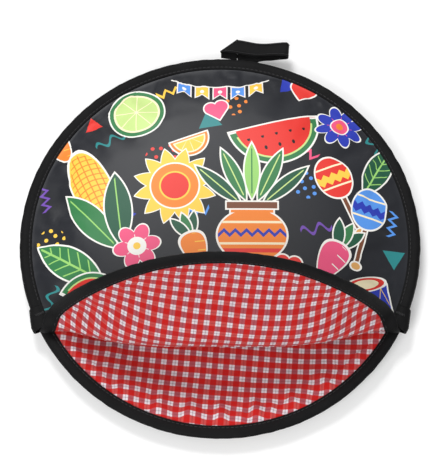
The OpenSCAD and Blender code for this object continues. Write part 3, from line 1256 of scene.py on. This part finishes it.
def corner_place(side):
    middle, seed = corner_middle(side), 20.0 + side

    def place(co):
        r, turn = math.hypot(co.x, co.y), math.atan2(co.x, -co.y)
        to_mouth = min(1.0, max(-1.0, side * (middle - turn) / math.radians(corner_deg / 2)))
        outer = ramp(r, disc_r - 3 * MM, disc_r + corner_out)
        r += (1.0 * MM + 1.8 * MM * to_mouth) * outer
        r += 0.2 * MM * ripple(turn * 3, seed)
        z = seam_z + (co.z - seam_z) * (1 - 0.30 * outer) + 0.2 * MM * ripple(turn, seed + 3)
        return Vector((r * math.sin(turn), -r * math.cos(turn), z))
    return place


corners = (("right_corner_fold", "right_corner_tape", 1), ("left_corner_fold", "left_corner_tape", -1))
for name, node, side in corners:
    start, end = sorted((side * (mouth_half - 1.3), side * (mouth_half + corner_gap_deg + corner_deg)))
    section = tape_section(seam_low - tape_t, seam_high + tape_t, corner_out)
    mesh = spun_tape(name, section, start, end, corner_place(side), 0.3)
    add_piece(mesh, tape_black, "binding_tape", [node], "pouch")

# %% [markdown]
# ## Stitches
# Each row of thread is made of separate stitches, because a lock stitch shows as short
# raised beads with small gaps. One low sphere is stretched and laid on the tape for each
# of them, along the same curve and with the same ripples as the tape.


# %% Lay a row of stitches
stitch_pitch, stitch_long, stitch_wide, stitch_high = 3.4 * MM, 2.9 * MM, 0.62 * MM, 0.5 * MM


def add_stitch(row, middle, ahead, up, long=stitch_long, wide=stitch_wide):
    ahead = ahead.normalized()
    across = up.cross(ahead).normalized()
    up = ahead.cross(across)
    shape = Matrix((ahead * long / 2, across * wide / 2, up * stitch_high / 2)).transposed().to_4x4()
    row.append(Matrix.Translation(middle) @ shape @ Matrix.Rotation(math.pi / 2, 4, "Y"))


def stitch_row(thread, start_deg, end_deg, height, place, way):
    """Stitches round the rim at that height; way is 1 on the upper side, -1 below."""
    r = tape_in_r + 1.8 * MM
    count = int(math.radians(end_deg - start_deg) * r / stitch_pitch)
    for i in range(count):
        turn = math.radians(start_deg) + (i + 0.5) * stitch_pitch / r
        here, ahead, above = (place(Vector((r * math.sin(t), -r * math.cos(t), height + lift)))
                              for t, lift in ((turn, 0), (turn + 0.004, 0), (turn, way * MM)))
        add_stitch(thread, here, ahead - here, above - here)


def thread_piece(name, draw, node, body=None):
    """draw fills a list with a matrix for each stitch. A few at a time are made, which is quicker."""
    row, thread, mesh, at_once = [], bmesh.new(), bpy.data.meshes.new(name), 20
    draw(row)
    for first in range(0, len(row), at_once):
        few = bmesh.new()
        for matrix in row[first:first + at_once]:
            bmesh.ops.create_uvsphere(few, u_segments=6, v_segments=5, radius=1.0, matrix=matrix)
        few.to_mesh(mesh)
        few.free()
        thread.from_mesh(mesh)
    smooth_shade(thread)
    thread.to_mesh(mesh)
    thread.free()
    add_piece(mesh, thread_black, "thread", [node], body)


def both_sides(low, high, start_deg, end_deg, place):
    """Draws one row above the tape and one below it."""
    sunk = 0.66 * MM

    def draw(thread):
        stitch_row(thread, start_deg, end_deg, high + sunk, place, 1)
        stitch_row(thread, start_deg, end_deg, low - sunk, place, -1)
    return draw


seam_start, lip_end = mouth_half + corner_deg + 0.8, mouth_half - 1.0
seam_rows = both_sides(seam_low, seam_high, seam_start, 360 - seam_start, seam_place)
lip_rows = both_sides(seam_low, seam_z, -lip_end, lip_end, lip_place)
flap_rows = both_sides(seam_z, seam_high, -lip_end, lip_end, flap_place)
thread_piece("seam_stitches", seam_rows, "seam_thread", "pouch")
thread_piece("lip_stitches", lip_rows, "lip_thread", "pouch")
thread_piece("flap_stitches", flap_rows, "flap_thread")


# %% Bartacks across the corners
def draw_bartacks(thread):
    half_turn, tack_pitch = 0.007, 0.62 * MM
    for side, way, i in ((side, way, i) for side in (-1, 1) for way in (-1, 1) for i in range(11)):
        place, turn = corner_place(side), corner_middle(side)
        r = tape_in_r + 1.2 * MM + i * tack_pitch
        z = seam_z + way * (rim_t + tape_t + 1.18 * MM)
        lean = 0.2 * MM * (1 if i % 2 else -1)
        ends = ((r - lean, turn - half_turn, 0), (r + lean, turn + half_turn, 0), (r, turn, way * MM))
        a, b, above = (place(Vector((q * math.sin(t), -q * math.cos(t), z + lift))) for q, t, lift in ends)
        add_stitch(thread, (a + b) / 2, b - a, above - (a + b) / 2, 2.3 * MM, 0.55 * MM)


thread_piece("corner_bartack_stitches", draw_bartacks, "corner_bartacks", "pouch")

# %% [markdown]
# ## Hang loop
# A length of the tape is caught in the seam, folded over on the slant, run along the rim
# and brought back under itself. A ribbon can't stretch, so it is described by its
# crosswise lines: one grid, whose rows are placed one after another along the ribbon.


# %% The loop's crosswise lines
loop_root = Vector((math.cos(math.radians(loop_at)), math.sin(math.radians(loop_at)), 0)) * disc_r
loop_root.z = seam_z
loop_place = Matrix.Translation(loop_root) @ Matrix.Rotation(math.radians(loop_at - 90), 4, "Z")


def between(first, second, share):
    return tuple(a + (b - a) * share for a, b in zip(first, second))


def loop_line(along):
    """The near and the far end of the ribbon's crosswise line, in mm: u right, v out, z up."""
    if along < 0.18:  # out of the seam, up to the slanted fold
        share = along / 0.18
        rise = 2.3 * ramp(share, 0, 0.6)
        near, far = between((-20.6, 0.3), (-21.2, 3.6), share), between((-8.0, 0.3), (-9.4, 15.4), share)
        return near + (0.2 + rise,), far + (0.2 + rise * share,)
    if along < 0.24:  # over the slanted fold
        turn = math.pi * (along - 0.18) / 0.06
        out = 0.75 * math.sin(turn)
        high = 2.5 + 0.85 * (1 - math.cos(turn))
        return (-21.2 - out, 3.6 + out, high), (-9.4 - out, 15.4 + out, high)
    if along < 0.58:  # along the rim to the right
        share = (along - 0.24) / 0.34
        sag = 2.4 * math.sin(math.pi * share) ** 2
        wave = 0.5 * math.sin(share * 9.0)
        high = 4.2 + (3.2 - 4.2) * share
        near = between((-21.2, 3.6), (28.5, 7.6), share)
        far = between((-9.4, 15.4), (28.5, 19.3), share)
        return (near[0], near[1] - sag * 0.6, high + wave), (far[0], far[1] - sag, high - wave * 0.7)
    if along < 0.68:  # round the free end
        turn = math.pi * (along - 0.58) / 0.10
        out, high = math.sin(turn), 3.2 * math.cos(turn)
        return (28.5 + 3.2 * out, 7.6 + 0.3 * out, high), (28.5 + 2.4 * out, 19.3 - 0.8 * out, high)
    share = (along - 0.68) / 0.32  # back under itself and into the seam
    near = between(between((28.5, 7.6), (16, 5.0), share), between((16, 5.0), (8, 0.6), share), share)
    far = between(between((28.5, 19.3), (-14, 16.5), share), between((-14, 16.5), (-7.6, 0.6), share), share)
    high = -3.2 + 3.1 * ramp(share, 0.35, 0.9)
    return near + (high,), far + (high,)


def loop_point(along, across, up=0.0):
    near, far = loop_line(along)
    here = Vector(between(near, far, across))
    if up:
        step = 0.004 if along < 0.99 else -0.004
        near_2, far_2 = loop_line(along + step)
        ahead = (Vector(between(near_2, far_2, across)) - here) * (1 if step > 0 else -1)
        here += (Vector(far) - Vector(near)).cross(ahead).normalized() * up
    return loop_place @ (here * MM)


# %% The ribbon and its thread
ribbon_long, ribbon_wide = 150 * MM, 11.7 * MM


def make_loop():
    ribbon = bmesh.new()
    bmesh.ops.create_grid(ribbon, x_segments=170, y_segments=8, size=0.5)
    cut = ribbon.loops.layers.uv.new("cut")
    for vert in ribbon.verts:
        flat = (vert.co.x + 0.5) * ribbon_long, (vert.co.y + 0.5) * ribbon_wide
        for loop in vert.link_loops:
            loop[cut].uv = flat
    for vert in ribbon.verts:
        vert.co = loop_point(vert.co.x + 0.5, vert.co.y + 0.5)
    bmesh.ops.solidify(ribbon, geom=ribbon.faces[:], thickness=tape_t)
    bmesh.ops.recalc_face_normals(ribbon, faces=ribbon.faces[:])
    smooth_shade(ribbon)
    loop = add_piece(saved("hang_loop_ribbon", ribbon), tape_black, "strap", ["hang_loop"], "loop")
    edge = loop.modifiers.new("soft_edge", "BEVEL")
    edge.width, edge.segments, edge.limit_method = 0.25 * MM, 2, "ANGLE"


def draw_loop_stitches(thread):
    for across in (0.1, 0.9):
        for i in range(38):
            along = 0.255 + i * 0.0096
            for up in (-0.55, 0.55):
                here = loop_point(along, across, up)
                ahead = loop_point(along + 0.002, across, up) - here
                above = loop_point(along, across, up * 1.5) - here
                add_stitch(thread, here, ahead, above, 1.35 * MM, 0.5 * MM)


make_loop()
thread_piece("loop_stitches", draw_loop_stitches, "loop_thread", "loop")
